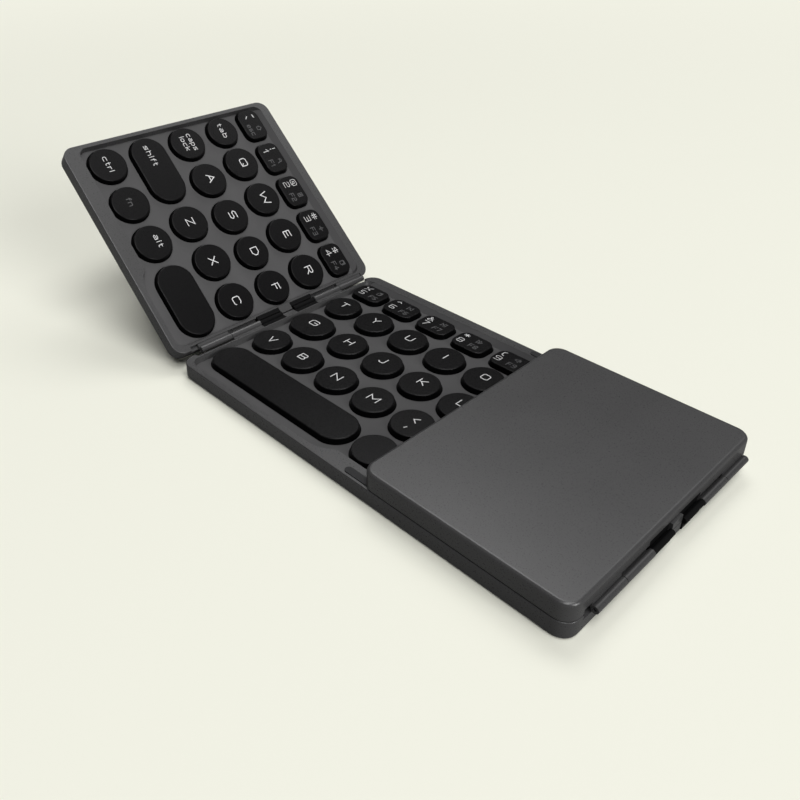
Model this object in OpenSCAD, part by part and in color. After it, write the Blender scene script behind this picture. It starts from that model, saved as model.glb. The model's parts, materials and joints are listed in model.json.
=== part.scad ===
// Tri-fold pocket keyboard. A middle panel lies flat, a left panel folds about a hinge
// along the middle panel's left edge, and a right panel with a touchpad folds about its right
// edge. Both side panels close over the middle one. Sizes are in millimetres. The origin is the
// centre of the middle panel's underside, +X runs to the right hinge and +Y to the back edge.

/* [Pose] */
// Angle of the left panel above flat
left_tilt = 41.6; // [0:0.1:130]
// Angle of the right panel, 180 is folded onto the middle panel and 0 is flat
right_fold = 180; // [0:1:180]

/* [Key layout] */
// Distance between neighbouring keys along a row of the middle panel
key_pitch = 18; // [17.6:0.1:20]
// Distance between neighbouring keys along a row of the left panel
left_pitch = 18.1; // [17.6:0.1:20]
// Distance between neighbouring number keys of the left panel
number_pitch = 17.55; // [17.4:0.05:18]
// Distance between the rows of round keys
row_pitch = 18.4; // [17.6:0.1:20]
// Distance from the top round row to the number row
number_row_step = 15.65; // [15.2:0.05:18]
// Distance from a hinge axis to the first key beside it on the middle panel
first_key = 11.9; // [11.9:0.1:14]
// Distance from a hinge axis to the first key beside it on the left panel
left_first_key = 12.5; // [12.4:0.1:14]
// Step from the first to the second key of a middle row
first_step = 17.4; // [17.2:0.1:19]
// Step from the last but one to the last key of a middle row
last_step = 16.4; // [16.3:0.1:19]
// Step from the last modifier key to the left arrow key
arrow_step = 17; // [16.9:0.1:19]
// How much nearer to the hinge the left panel's home row starts
home_inset = 0.6; // [0:0.1:0.6]
// Step from the first to the second key of the left home row
home_first_step = 16.6; // [16.2:0.1:19]
// Step from the second to the third key of the left home row
home_second_step = 17.5; // [16.6:0.1:19]
// Step to the outermost key in the left panel's top round row
tab_step = 16.3; // [16.3:0.1:19]

/* [Keys] */
// Diameter of a round key at its top
key_d = 14.8; // [13.6:0.1:14.9]
// Diameter of the middle panel's keys beside the left hinge
edge_key_d = 14.3; // [13:0.1:14.4]
// Diameter of the middle panel's keys beside the right hinge
last_key_d = 13.6; // [13:0.1:13.7]
// Diameter of the two home keys nearest to the left hinge on the left panel
home_key_d = 14; // [12.6:0.1:14.4]
// Width of a number key
number_key_w = 14.4; // [13:0.1:14.6]
// Depth of a number key
number_key_y = 10.4; // [9:0.1:10.8]
// Corner radius of a number key
number_key_r = 3.5; // [2:0.1:4.4]
// Height of a key above the deck
key_height = 2; // [1.2:0.1:2.1]
// How far a key can be pressed
key_travel = 1; // [0.6:0.1:1.1]
// How much wider a key is at the deck than at its top, on each side
key_flare = 0.4; // [0.1:0.05:0.4]
// Rounding of a key's top edge
key_edge = 0.35; // [0.1:0.05:0.6]
// Gap between a key and its hole in the deck
key_gap = 0.25; // [0.2:0.05:0.35]
// Lip of a key under the deck, beyond its side
key_lip = 0.5; // [0.4:0.05:0.55]
// Thickness of the lip under the deck
key_lip_t = 0.5; // [0.4:0.05:0.6]
// Wall of a key
key_wall = 0.9; // [0.6:0.1:1.4]
// Diameter of the post that presses the dome
key_post_d = 3.2; // [2:0.1:4.5]
// Length of the wide shift key
shift_key_w = 29.8; // [28:0.1:30]
// Length of the left space key
left_space_w = 29.9; // [28:0.1:31]
// Length of the right space key
right_space_w = 69.8; // [67:0.1:70.4]
// Length of the enter key
enter_key_w = 26.4; // [24:0.1:26.6]
// Length of the home row's first key, beside the left hinge
home_key_w = 18.4; // [16:0.1:18.6]
// Gap between a wide key and the round key beside it
wide_gap = 3.35; // [3:0.05:3.8]
// Gap between the right space key and the key beside it
space_gap = 2.45; // [2.2:0.05:3.8]
// How much further out the middle panel's wide keys start than the round keys in their column
wide_start = 0.1; // [0:0.05:0.15]
// Diameter of the outermost key in the left panel's top round row
tab_key_d = 13.6; // [12:0.1:13.7]

/* [Panels] */
// Thickness of each panel, from its underside to its rim
panel_t = 6.05; // [5.9:0.05:8]
// Gap between two rims when a side panel is folded
closed_gap = 0.3; // [0.2:0.05:0.6]
// Gap between the free edges of the side panels when both are folded
free_gap = 0.4; // [0.2:0.1:2]
// Distance from a hinge axis to the panel walls beside it
edge_gap = 1; // [0.8:0.05:1.2]
// Radius of the panels' corners seen from above
corner_r = 4.8; // [3:0.1:6]
// Rounding of the edge between the side walls and the underside
bottom_round = 1.2; // [0.4:0.1:2]
// Thickness of the side walls
side_wall = 1.2; // [0.9:0.05:1.4]
// Thickness of the bottom covers
cover_t = 0.75; // [0.5:0.05:0.9]
// Height of the rim's lip over the side walls
lip_t = 0.5; // [0.3:0.05:0.8]
// Rounding of the rim's outer edge
lip_round = 0.3; // [0.1:0.05:0.3]
// Height of the rim above the deck
rim_height = 2.2; // [2.15:0.05:2.4]
// Thickness of the deck plate
deck_t = 0.8; // [0.6:0.05:0.9]
// Corner radius of the deck, seen from above
deck_r = 3; // [1:0.1:5]
// Slope of the rim's inner wall, seen from above
rim_slope = 0.6; // [0.2:0.05:0.9]
// Width of the front rim at the deck
front_rim = 6.9; // [5.8:0.1:9]
// Width of the back rim at the deck
back_rim = 4.7; // [4:0.1:8]
// Width of the left panel's outer rim at the deck
outer_rim = 2.3; // [2.2:0.1:6]
// Distance from a hinge axis to the deck's edge
hinge_rim = 4; // [3.9:0.05:4.2]
// Deck in front of the front keys
front_deck = 0.7; // [0.5:0.05:3]
// Deck behind the number keys
back_deck = 2.25; // [1.5:0.05:4]
// Deck between the left panel's last key and its outer rim
outer_deck = 0.5; // [0.5:0.1:3]
// Deck around a space key, where the rim swings out round it
space_deck = 4.7; // [3:0.1:4.8]
// Rounding where that swing joins the straight rim
swing_r = 4; // [2:0.1:6]
// Corner radius of the deck in the swing's corner beside the hinge
swing_corner_r = 3.3; // [1:0.1:4]

/* [Hinges] */
// Distance from the hinges' notch to the rounding of the panels' back corners
hinge_margin = 0.3; // [0.2:0.1:2]
// Half length of the recess between the knuckles
recess_half = 14; // [8:0.1:16]
// Length of each of the middle panel's knuckles
inner_knuckle = 13.8; // [8:0.1:15]
// Length of each side panel's knuckles
outer_knuckle = 13.7; // [8:0.1:13.9]
// Gap between neighbouring knuckles
knuckle_gap = 0.2; // [0.1:0.05:0.5]
// Radius of the knuckles
knuckle_r = 1.2; // [0.9:0.05:1.25]
// Radius of the hinge pins
pin_r = 0.5; // [0.35:0.05:0.6]
// Clearance round a pin in the knuckles that turn on it
pin_running_gap = 0.05; // [0.02:0.01:0.1]
// Clearance round a pin in the knuckles that hold it
pin_seat_gap = 0.02; // [0.01:0.01:0.05]
// How far a pin's ends lie inside the knuckles
pin_inset = 0.6; // [0.2:0.1:2]
// Depth of the knuckles' notch below the hinge axis
notch_depth = 1.8; // [1.4:0.05:2]
// Distance from a hinge axis to the notch's inner wall
notch_wall = 2.6; // [2.2:0.05:2.8]
// Fine gap between a knuckle's leaf and the notch's inner wall
leaf_gap = 0.15; // [0.1:0.05:0.3]
// Distance from a hinge axis to the recess's inner wall
recess_wall = 3; // [2.8:0.05:3.1]
// Notch beyond the front knuckle
front_notch = 3.2; // [0.5:0.1:3.4]
// Notch beyond the back knuckle
back_notch = 0.4; // [0.3:0.1:1]
// Radius of the flexible cover in the recess
boot_r = 1; // [0.6:0.05:1.2]
// Half width of the posts in the middle of the recess
recess_post_half = 2.8; // [0.8:0.1:4]
// Distance from a hinge axis to the posts
post_gap = 0.25; // [0.15:0.05:0.6]
// Gap between the flexible covers and the recess's ends
boot_gap = 0.3; // [0.1:0.05:0.6]
// Distance from a hinge axis to the side panels' liners in the recess
liner_start = 1.3; // [1.25:0.05:2]

/* [Pads and screws] */
// Length of the bumper pads on the middle panel's rims
pad_w = 16; // [8:0.5:24]
// Width of the bumper pads
pad_y = 2.6; // [1.6:0.1:3]
// Height of the bumper pads above the rim
pad_height = 0.28; // [0.1:0.01:0.28]
// Depth of the bumper pads' seats in the rim
pad_seat = 0.35; // [0.2:0.05:0.6]
// Distance from the bumper pads' middle to the panels' front and back edges
pad_inset = 2.3; // [2:0.1:2.6]
// Diameter of the screws' heads
screw_head_d = 2.6; // [2:0.1:3]
// Diameter of the screws' shanks
screw_d = 1.2; // [0.8:0.1:1.4]
// Height of the screws' countersunk heads
screw_head_t = 0.6; // [0.4:0.05:0.7]
// Gap between a screw's tip and the deck
screw_tip_gap = 0.4; // [0.2:0.1:1]
// Length of the cross in a screw's head
cross_w = 1.4; // [0.8:0.1:1.8]
// Width of the cross's slots
cross_slot = 0.3; // [0.2:0.05:0.5]
// Depth of the cross's slots
cross_depth = 0.35; // [0.2:0.05:0.5]
// Diameter of the bosses that the screws go into
boss_d = 3.4; // [3.2:0.1:3.6]
// Gap between the front bosses and the keys' lips
boss_play = 0.3; // [0.2:0.1:0.6]
// How far the back bosses reach in under the deck
boss_reach = 0.6; // [0.3:0.1:0.7]
// Distance from the screws to the panel's hinge and free edges
screw_inset = 12; // [9:0.5:20]

/* [Inside] */
// Thickness of the circuit boards
board_t = 0.4; // [0.3:0.05:0.45]
// Thickness of the dome sheets
sheet_t = 0.15; // [0.1:0.05:0.2]
// Gap between the keys' lips and the ledge that carries the deck
ledge_play = 0.15; // [0.1:0.05:0.3]
// Gap round the circuit boards
board_play = 0.2; // [0.1:0.1:1]
// Corner radius of the circuit boards
board_r = 1; // [0.5:0.1:2]
// Diameter of a dome
dome_d = 5; // [3:0.1:6]
// Diameter of a dome's flat top
dome_top_d = 3; // [1:0.1:3]
// Gap between a pressed key and its dome
dome_gap = 0.05; // [0.03:0.01:0.1]

/* [Touchpad panel] */
// Rim round the touchpad
touch_rim = 7; // [5:0.5:12]
// Corner radius of the touchpad
touch_r = 3; // [1:0.5:6]
// Thickness of the touchpad's glass
touch_t = 1; // [0.7:0.1:1.4]
// Gap round the touchpad
touch_gap = 0.15; // [0.1:0.05:0.3]
// How far the touchpad lies below the rim
touch_inset = 0.2; // [0.1:0.05:0.5]
// Thickness of the touchpad's circuit board
touch_board_t = 0.8; // [0.5:0.1:1]
// Distance from the touchpad's edge to the window under it
window_inset = 2; // [1.5:0.1:3]
// Gap between that window and the touchpad's circuit board
window_play = 0.5; // [0.2:0.1:1]
// Width of the touchpad panel's solid edge beside its hinge
hinge_block = 3.8; // [3.4:0.1:5]
// Width of the battery cell
battery_w = 34; // [20:1:38]
// Depth of the battery cell
battery_y = 50; // [30:1:54]
// Thickness of the battery cell
battery_t = 2; // [1.5:0.1:2.2]
// Gap between the battery cell and the controller board
battery_gap = 1; // [0.5:0.1:3]
// Width of the controller board
controller_w = 20; // [14:1:24]
// Depth of the controller board
controller_y = 24; // [16:1:27]
// Width of the charging port
port_w = 8; // [7:0.1:9]
// Height of the charging port
port_h = 2.6; // [2.2:0.1:2.8]
// Depth of the charging port
port_y = 6; // [5:0.5:8]
// Wall of the charging port
port_wall = 0.3; // [0.2:0.05:0.4]
// Thickness of the charging port's closed end
port_end = 0.6; // [0.4:0.1:1]
// How far the charging port lies inside the back wall
port_inset = 0.3; // [0.1:0.1:0.6]
// Gap round the charging port
port_play = 0.2; // [0.1:0.05:0.3]

/* [Hidden] */
$fn = 64;
eps = 0.01;

// Heights, measured from the plane of the hinge axes
axis_z = panel_t + closed_gap / 2;
rim_z = -closed_gap / 2;
deck_z = rim_z - rim_height;
deck_under = deck_z - deck_t;
floor_z = cover_t - axis_z;
board_top = floor_z + board_t;
sheet_top = board_top + sheet_t;
key_top = deck_z + key_height;
lip_play = 0.05;
ledge = outer_rim + outer_deck - key_flare - key_lip - ledge_play;
lip_top = deck_under - lip_play;
lip_under = lip_top - key_lip_t;
dome_top = lip_under - key_travel - dome_gap;

// Panel outlines
key_r = key_d / 2;
edge_key_r = edge_key_d / 2;
mid_inner_steps = 6;
last_column = mid_inner_steps + 2;
function left_u(n) = left_first_key + n * left_pitch;

// The front row of the middle panel, measured from the left hinge axis
right_space_x = first_key - edge_key_r - wide_start + right_space_w / 2;
modifier_x = right_space_x + right_space_w / 2 + space_gap + key_r;
inner_end_x = first_key + first_step + mid_inner_steps * key_pitch;
arrow_x = max(modifier_x + key_pitch + arrow_step, inner_end_x - key_pitch);

// The hinge axes lie as far apart as the longest row of the middle panel needs
hinge_span = first_key + last_step + arrow_x + key_pitch;
half_span = hinge_span / 2;

// Wide keys and rows of the left panel, measured outwards from its hinge axis
left_space_u = left_first_key - key_r + left_space_w / 2;
left_alt_u = left_space_u + left_space_w / 2 + wide_gap + key_r;
shift_u = left_u(2) + key_r + wide_gap + shift_key_w / 2;
tab_u = left_u(3) + tab_step;
home_u = left_first_key - home_inset;
home_third_u = home_u + home_first_step + home_second_step;
caps_u = home_third_u + key_pitch + left_pitch;
left_ends = [
    left_first_key + 4 * number_pitch + number_key_w / 2,
    tab_u + tab_key_d / 2,
    caps_u + key_r,
    shift_u + shift_key_w / 2,
    left_alt_u + 2 * key_pitch + key_r
];
left_length = max(left_ends) + outer_deck + outer_rim;
right_length = hinge_span - left_length - free_gap;
depth = front_rim + front_deck + key_r + 3 * row_pitch + number_row_step + number_key_y / 2
    + back_deck + back_rim;
half_depth = depth / 2;

// Rows of keys, from the back to the front
number_row_y = half_depth - back_rim - back_deck - number_key_y / 2;
function row_y(n) = n == 0 ? number_row_y : number_row_y - number_row_step - (n - 1) * row_pitch;

// Columns of the middle panel, measured from the left hinge axis
function mid_x(n) = n == 0 ? first_key
    : n == last_column ? hinge_span - first_key
    : first_key + first_step + (n - 1) * key_pitch;
function column_key_d(n) = n == 0 ? edge_key_d : n == last_column ? last_key_d : key_d;
home_key_x = first_key - edge_key_r - wide_start + home_key_w / 2;
second_home_x = home_key_x + home_key_w / 2 + wide_gap + key_r;
enter_x = hinge_span - first_key + last_key_d / 2 - enter_key_w / 2;

// The rim's inner edge at the deck
deck_front = front_rim - half_depth;
deck_back = half_depth - back_rim;
swing_outer = key_r + space_deck;

// Hinge
hinge_half = recess_half + inner_knuckle + outer_knuckle;
hinge_y = half_depth - corner_r - hinge_margin - back_notch - hinge_half;
front_knuckle_end = hinge_y - hinge_half;
back_knuckle_end = hinge_y + hinge_half;
leaf_start = 0.75 * knuckle_r;
boot_run = recess_half - recess_post_half - 2 * boot_gap;

paint = [0.36, 0.36, 0.37];
deck_paint = [0.33, 0.33, 0.335];
key_black = [0.1, 0.1, 0.11];
steel = [0.6, 0.6, 0.62];
rubber = [0.08, 0.08, 0.08];
board_green = [0.08, 0.28, 0.16];

// ---- Shapes ----

// A slab with round corners of radius r, whose edge is the profile in child 0. The profile's x
// is measured outwards from the corner's centre, and core_z is its height range at that centre.
module edged_slab(w, d, r, core_z) {
    run_x = w - 2 * r;
    run_y = d - 2 * r;
    xs = run_x > eps ? [-1, 1] : [0];
    ys = run_y > eps ? [-1, 1] : [0];
    for (sx = xs, sy = ys)
        translate([sx * run_x / 2, sy * run_y / 2, 0]) rotate_extrude() children(0);
    if (run_x > eps)
        for (side = [0, 180])
            rotate([0, 0, side]) translate([-run_x / 2, run_y / 2, 0])
                rotate([90, 0, 90]) linear_extrude(run_x) children(0);
    if (run_y > eps)
        for (side = [0, 180])
            rotate([0, 0, side]) translate([run_x / 2, run_y / 2, 0])
                rotate([90, 0, 0]) linear_extrude(run_y) children(0);
    if (run_x > eps && run_y > eps)
        translate([-run_x / 2, -run_y / 2, core_z[0]])
            cube([run_x, run_y, core_z[1] - core_z[0]]);
}

// A rectangle with round corners, from its two opposite corners
module round_rect(x0, x1, y0, y1, r) {
    translate([x0 + r, y0]) square([x1 - x0 - 2 * r, y1 - y0]);
    translate([x0, y0 + r]) square([x1 - x0, y1 - y0 - 2 * r]);
    for (x = [x0 + r, x1 - r], y = [y0 + r, y1 - r])
        translate([x, y]) circle(r);
}

// ---- Panels: local frame with the hinge axis on Y and the panel towards +X ----

module on_mid() {
    translate([0, 0, axis_z]) children();
}

module on_left() {
    translate([-half_span, 0, axis_z]) rotate([0, left_tilt, 0]) mirror([1, 0, 0]) children();
}

module on_right() {
    translate([half_span, 0, axis_z]) rotate([0, -right_fold, 0]) children();
}

// The middle panel's two hinge sides, each as the local frame above
module at_mid_hinges() {
    translate([-half_span, 0, 0]) children();
    translate([half_span, 0, 0]) mirror([1, 0, 0]) children();
}

// Room for the knuckles and the recess in a panel's hinge edge
module hinge_cut() {
    y0 = front_knuckle_end - front_notch;
    y1 = back_knuckle_end + back_notch;
    translate([-1, y0, -notch_depth]) cube([1 + notch_wall, y1 - y0, notch_depth + 1]);
    translate([-1, hinge_y - recess_half, deck_under])
        cube([1 + recess_wall, 2 * recess_half, 1 - deck_under]);
}

// Section of a bottom cover's edge, with its rounded lower corner
module cover_section() {
    top = rim_z - lip_t;
    translate([0, -axis_z]) square([corner_r - bottom_round, top + axis_z]);
    translate([0, bottom_round - axis_z]) square([corner_r, top + axis_z - bottom_round]);
    intersection() {
        translate([corner_r - bottom_round, bottom_round - axis_z]) circle(bottom_round);
        translate([0, -axis_z]) square([corner_r, axis_z]);
    }
}

// Section of the rim's lip, with its rounded upper corner
module lip_section() {
    bottom = rim_z - lip_t;
    translate([0, bottom]) square([corner_r - lip_round, lip_t]);
    translate([0, bottom]) square([corner_r, lip_t - lip_round]);
    intersection() {
        translate([corner_r - lip_round, rim_z - lip_round]) circle(lip_round);
        translate([0, bottom]) square([corner_r, lip_t]);
    }
}

// Bottom cover with its side walls, the ledge that carries the deck and the screws' bosses
module cover(x0, x1, screws) {
    top = rim_z - lip_t;
    middle = (x0 + x1) / 2;
    difference() {
        translate([middle, 0, 0])
            edged_slab(x1 - x0, depth, corner_r, [-axis_z, top]) cover_section();
        translate([0, 0, floor_z]) linear_extrude(axis_z)
            round_rect(x0 + ledge, x1 - ledge, ledge - half_depth, half_depth - ledge,
                corner_r - ledge);
        translate([0, 0, deck_under]) linear_extrude(axis_z)
            round_rect(x0 + side_wall, x1 - side_wall, side_wall - half_depth,
                half_depth - side_wall, corner_r - side_wall);
        at_each(screws) translate([0, 0, -axis_z - eps]) cylinder(h = axis_z, d = screw_d);
        at_each(screws) screw_seat();
    }
    difference() {
        at_each(screws) translate([0, 0, floor_z]) cylinder(h = deck_under - floor_z, d = boss_d);
        at_each(screws) translate([0, 0, -axis_z]) cylinder(h = axis_z, d = screw_d);
    }
}

module at_each(points) {
    for (p = points) translate([p[0], p[1], 0]) children();
}

// Screws sit in the front and back rims, near both ends of a panel
screw_front = deck_front - key_lip - boss_play - boss_d / 2;
screw_back = deck_back - boss_reach + boss_d / 2;
function screw_points(x0, x1) =
    [for (x = [x0 + screw_inset, x1 - screw_inset], y = [screw_front, screw_back]) [x, y]];

module screw_seat() {
    slope = (screw_head_d - screw_d) / screw_head_t;
    translate([0, 0, -axis_z - eps])
        cylinder(h = screw_head_t + eps, d1 = screw_head_d + slope * eps, d2 = screw_d);
}

module screw() {
    difference() {
        union() {
            translate([0, 0, -axis_z])
                cylinder(h = screw_head_t, d1 = screw_head_d, d2 = screw_d);
            translate([0, 0, -axis_z]) cylinder(h = deck_under + axis_z - screw_tip_gap, d = screw_d);
        }
        for (turn = [0, 90])
            rotate([0, 0, turn]) translate([-cross_w / 2, -cross_slot / 2, -axis_z - eps])
                cube([cross_w, cross_slot, cross_depth + eps]);
    }
}

// Hole above the deck, widening upwards: a rectangle with round corners
module sloped_well(x0, x1, y0, y1, r) {
    h = rim_height + eps;
    slope = rim_slope;
    for (x = [x0 + r, x1 - r], y = [y0 + r, y1 - r])
        translate([x, y, deck_z]) cylinder(h = h, r1 = r, r2 = r + slope);
    translate([x0 + r, 0, deck_z]) rotate([90, 0, 90])
        linear_extrude(x1 - x0 - 2 * r)
            polygon([[y0, 0], [y1, 0], [y1 + slope, h], [y0 - slope, h]]);
    translate([0, y1 - r, deck_z]) rotate([90, 0, 0])
        linear_extrude(y1 - y0 - 2 * r)
            polygon([[x0, 0], [x1, 0], [x1 + slope, h], [x0 - slope, h]]);
}

// The rim's swing round a space key: concentric with the key's end at space_end, then a round
// of swing_r onto the straight rim. The hinge side ends at side_x.
module space_swing(side_x, space_end) {
    h = rim_height + eps;
    slope = rim_slope;
    y = row_y(4);
    front = y - swing_outer;
    drop = y - deck_front;
    side_r = swing_corner_r;
    blend = space_end + sqrt((swing_outer + swing_r) ^ 2 - (drop + swing_r) ^ 2);
    translate([space_end, y, deck_z])
        cylinder(h = h, r1 = swing_outer, r2 = swing_outer + slope);
    translate([side_x + side_r, front + side_r, deck_z])
        cylinder(h = h, r1 = side_r, r2 = side_r + slope);
    translate([side_x + side_r, 0, deck_z]) rotate([90, 0, 90])
        linear_extrude(space_end - side_x - side_r)
            polygon([[front, 0], [y, 0], [y, h], [front - slope, h]]);
    translate([0, y, deck_z]) rotate([90, 0, 0])
        linear_extrude(swing_outer - side_r)
            polygon([[side_x, 0], [space_end, 0], [space_end, h], [side_x - slope, h]]);
    difference() {
        translate([0, 0, deck_z]) linear_extrude(h)
            polygon([[space_end, y], [blend, deck_front - swing_r], [blend, y]]);
        translate([blend, deck_front - swing_r, deck_z - eps])
            cylinder(h = h + 2 * eps, r1 = swing_r, r2 = swing_r - slope);
    }
}

// The rim: a lip over the side walls and a ring standing on the deck
module rim(x0, x1) {
    middle = (x0 + x1) / 2;
    difference() {
        union() {
            translate([middle, 0, 0])
                edged_slab(x1 - x0, depth, corner_r, [rim_z - lip_t, rim_z]) lip_section();
            translate([0, 0, deck_z]) linear_extrude(rim_height - eps)
                round_rect(x0 + side_wall, x1 - side_wall, side_wall - half_depth,
                    half_depth - side_wall, corner_r - side_wall);
        }
        children();
    }
}

// A deck plate, filling a panel between its side walls
module deck(x0, x1) {
    translate([0, 0, deck_under]) linear_extrude(deck_t)
        round_rect(x0 + side_wall, x1 - side_wall, side_wall - half_depth,
            half_depth - side_wall, corner_r - side_wall);
}

// A circuit board between the ledges at its sides and the bosses at the front and back
module board_outline(x0, x1) {
    round_rect(x0 + ledge + board_play, x1 - ledge - board_play,
        screw_front + boss_d / 2 + board_play, screw_back - boss_d / 2 - board_play, board_r);
}

module board(x0, x1) {
    translate([0, 0, floor_z]) linear_extrude(board_t) board_outline(x0, x1);
}

// A dome sheet over the same area, with a low dome under each key
module dome_sheet(x0, x1, points) {
    translate([0, 0, board_top]) linear_extrude(sheet_t) board_outline(x0, x1);
    at_each(points) translate([0, 0, sheet_top - eps])
        cylinder(h = dome_top - sheet_top + eps, d1 = dome_d, d2 = dome_top_d);
}

// ---- Hinges ----

// Knuckles along Y between y0 and y1 with a leaf to the panel's notch, bored for the pin
module knuckle(y0, y1, bore_r) {
    difference() {
        union() {
            translate([0, y0, 0]) rotate([-90, 0, 0]) cylinder(h = y1 - y0, r = knuckle_r);
            translate([leaf_start, y0, -notch_depth])
                cube([notch_wall - leaf_gap - leaf_start, y1 - y0, notch_depth + rim_z]);
        }
        translate([0, y0 - eps, 0]) rotate([-90, 0, 0]) cylinder(h = y1 - y0 + 2 * eps, r = bore_r);
    }
}

// The middle panel's knuckles lie beside the recess, and the side panels' beyond them
module inner_knuckles() {
    for (side = [-1, 1]) {
        near = hinge_y + side * recess_half;
        far = near + side * (inner_knuckle - knuckle_gap / 2);
        knuckle(min(near, far), max(near, far), pin_r + pin_seat_gap);
    }
}

module outer_knuckles() {
    for (side = [-1, 1]) {
        near = hinge_y + side * (recess_half + inner_knuckle + knuckle_gap / 2);
        far = hinge_y + side * (recess_half + inner_knuckle + outer_knuckle);
        knuckle(min(near, far), max(near, far), pin_r + pin_running_gap);
    }
}

module pins() {
    length = inner_knuckle + outer_knuckle - 2 * pin_inset;
    for (y = [hinge_y + recess_half + pin_inset, front_knuckle_end + pin_inset])
        translate([0, y, 0]) rotate([-90, 0, 0]) cylinder(h = length, r = pin_r);
}

// Runs along the recess on both sides of its post
module at_boots() {
    for (y = [hinge_y + recess_post_half + boot_gap, hinge_y - recess_half + boot_gap])
        translate([0, y, 0]) children();
}

// Flexible covers round the cables, seated in the middle panel's half of the recess
module boots() {
    at_boots() {
        rotate([-90, 0, 0]) cylinder(h = boot_run, r = boot_r);
        translate([0, 0, deck_under]) cube([recess_wall, boot_run, rim_z - deck_under]);
    }
}

// Liners that close a side panel's half of the recess
module liners() {
    at_boots() translate([liner_start, 0, deck_under])
        cube([recess_wall - liner_start, boot_run, rim_z - deck_under]);
}

module recess_post() {
    translate([post_gap, hinge_y - recess_post_half, deck_z])
        cube([recess_wall - post_gap + eps, 2 * recess_post_half, rim_height]);
}

// ---- Keys ----

// Section of a key's edge, outwards from a corner centre with the top radius r
module key_section(r) {
    side = r + key_flare;
    lip = side + key_lip;
    edge = min(key_edge, r / 2);
    difference() {
        union() {
            polygon([[0, lip_under], [side, lip_under], [side, deck_z], [r, key_top - edge],
                [r - edge, key_top], [0, key_top]]);
            translate([r - edge, key_top - edge]) circle(edge);
            translate([0, lip_under]) square([lip, key_lip_t]);
        }
        translate([-eps, lip_under - eps])
            square([r - key_wall + eps, key_top - lip_under - key_wall + eps]);
    }
}

// One key of top size w by d with corner radius r, centred on x, y
module key(x, y, w, d, r) {
    translate([x, y, 0]) {
        edged_slab(w, d, r, [key_top - key_wall, key_top]) key_section(r);
        translate([0, 0, lip_under]) cylinder(h = key_top - key_wall - lip_under + eps,
            d = key_post_d);
    }
}

module key_hole(x, y, w, d, r) {
    grow = key_flare + key_gap;
    translate([0, 0, deck_under - eps]) linear_extrude(deck_t + 2 * eps)
        round_rect(x - w / 2 - grow, x + w / 2 + grow, y - d / 2 - grow, y + d / 2 + grow, r + grow);
}

// Every key is [x, y, width, depth, corner radius], x from its panel's left hinge axis
function round_key(x, row, d) = [x, row_y(row), d, d, d / 2];
function wide_key(x, row, w) = [x, row_y(row), w, key_d, key_r];
function number_key(x) = [x, row_y(0), number_key_w, number_key_y, number_key_r];

// Left panel, each row from the outer edge to the hinge
left_numbers = [for (n = [4:-1:0]) number_key(left_first_key + n * number_pitch)];
left_tops = [
    round_key(tab_u, 1, tab_key_d),
    for (n = [3:-1:0]) round_key(left_u(n), 1, key_d)
];
left_homes = [
    round_key(caps_u, 2, key_d),
    round_key(home_third_u + key_pitch, 2, key_d),
    round_key(home_third_u, 2, key_d),
    round_key(home_u + home_first_step, 2, home_key_d),
    round_key(home_u, 2, home_key_d)
];
left_lowers = [
    wide_key(shift_u, 3, shift_key_w),
    for (n = [2:-1:0]) round_key(left_u(n), 3, key_d)
];
left_fronts = [
    for (n = [2:-1:0]) round_key(left_alt_u + n * key_pitch, 4, key_d),
    wide_key(left_space_u, 4, left_space_w)
];
left_keys = concat(left_numbers, left_tops, left_homes, left_lowers, left_fronts);

// Middle panel, each row from the left hinge to the right one
mid_numbers = [for (n = [0:last_column]) number_key(mid_x(n))];
mid_tops = [
    for (n = [0:last_column]) round_key(mid_x(n), 1, column_key_d(n))
];
mid_homes = [
    wide_key(home_key_x, 2, home_key_w),
    for (n = [1:mid_inner_steps]) round_key(second_home_x + (n - 1) * key_pitch, 2, key_d)
];
enter = wide_key(enter_x, 2, enter_key_w);
mid_lowers = [
    for (n = [0:last_column])
        if (n != last_column - 1) round_key(mid_x(n), 3, column_key_d(n))
];
space_right = wide_key(right_space_x, 4, right_space_w);
mid_modifiers = [for (n = [0, 1]) round_key(modifier_x + n * key_pitch, 4, key_d)];
mid_arrows = [
    round_key(arrow_x + key_pitch, 3, key_d),
    round_key(arrow_x, 4, key_d),
    round_key(arrow_x + key_pitch, 4, key_d),
    round_key(mid_x(last_column), 4, last_key_d)
];
mid_keys = concat(mid_numbers, mid_tops, mid_homes, [enter], mid_lowers, [space_right],
    mid_modifiers, mid_arrows);

module place_keys(list) {
    for (k = list) key(k[0], k[1], k[2], k[3], k[4]);
}

module key_holes(list) {
    for (k = list) key_hole(k[0], k[1], k[2], k[3], k[4]);
}

module left_key(n) {
    color(key_black) on_left() place_keys([left_keys[n]]);
}

module mid_key_group(list) {
    color(key_black) on_mid() translate([-half_span, 0, 0]) place_keys(list);
}

// ---- Middle panel ----

mid_x0 = edge_gap - half_span;
mid_x1 = half_span - edge_gap;
mid_screw_points = screw_points(mid_x0, mid_x1);
pad_x = half_span - right_length - free_gap / 2;

module mid_top_frame() {
    color(paint) on_mid() {
        rim(mid_x0, mid_x1) {
            sloped_well(hinge_rim - half_span, half_span - hinge_rim, deck_front, deck_back, deck_r);
            translate([-half_span, 0, 0])
                space_swing(hinge_rim, right_space_x + right_space_w / 2 - key_r);
            at_mid_hinges() hinge_cut();
            translate([pad_x, 0, 0]) pad_seats();
        }
        at_mid_hinges() recess_post();
    }
}

module pad_outline() {
    round_rect(-pad_w / 2, pad_w / 2, -pad_y / 2, pad_y / 2, pad_y / 2 - eps);
}

module pad_seats() {
    for (side = [-1, 1])
        translate([0, side * (half_depth - pad_inset), rim_z - pad_seat])
            linear_extrude(pad_seat + 1) pad_outline();
}

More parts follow.
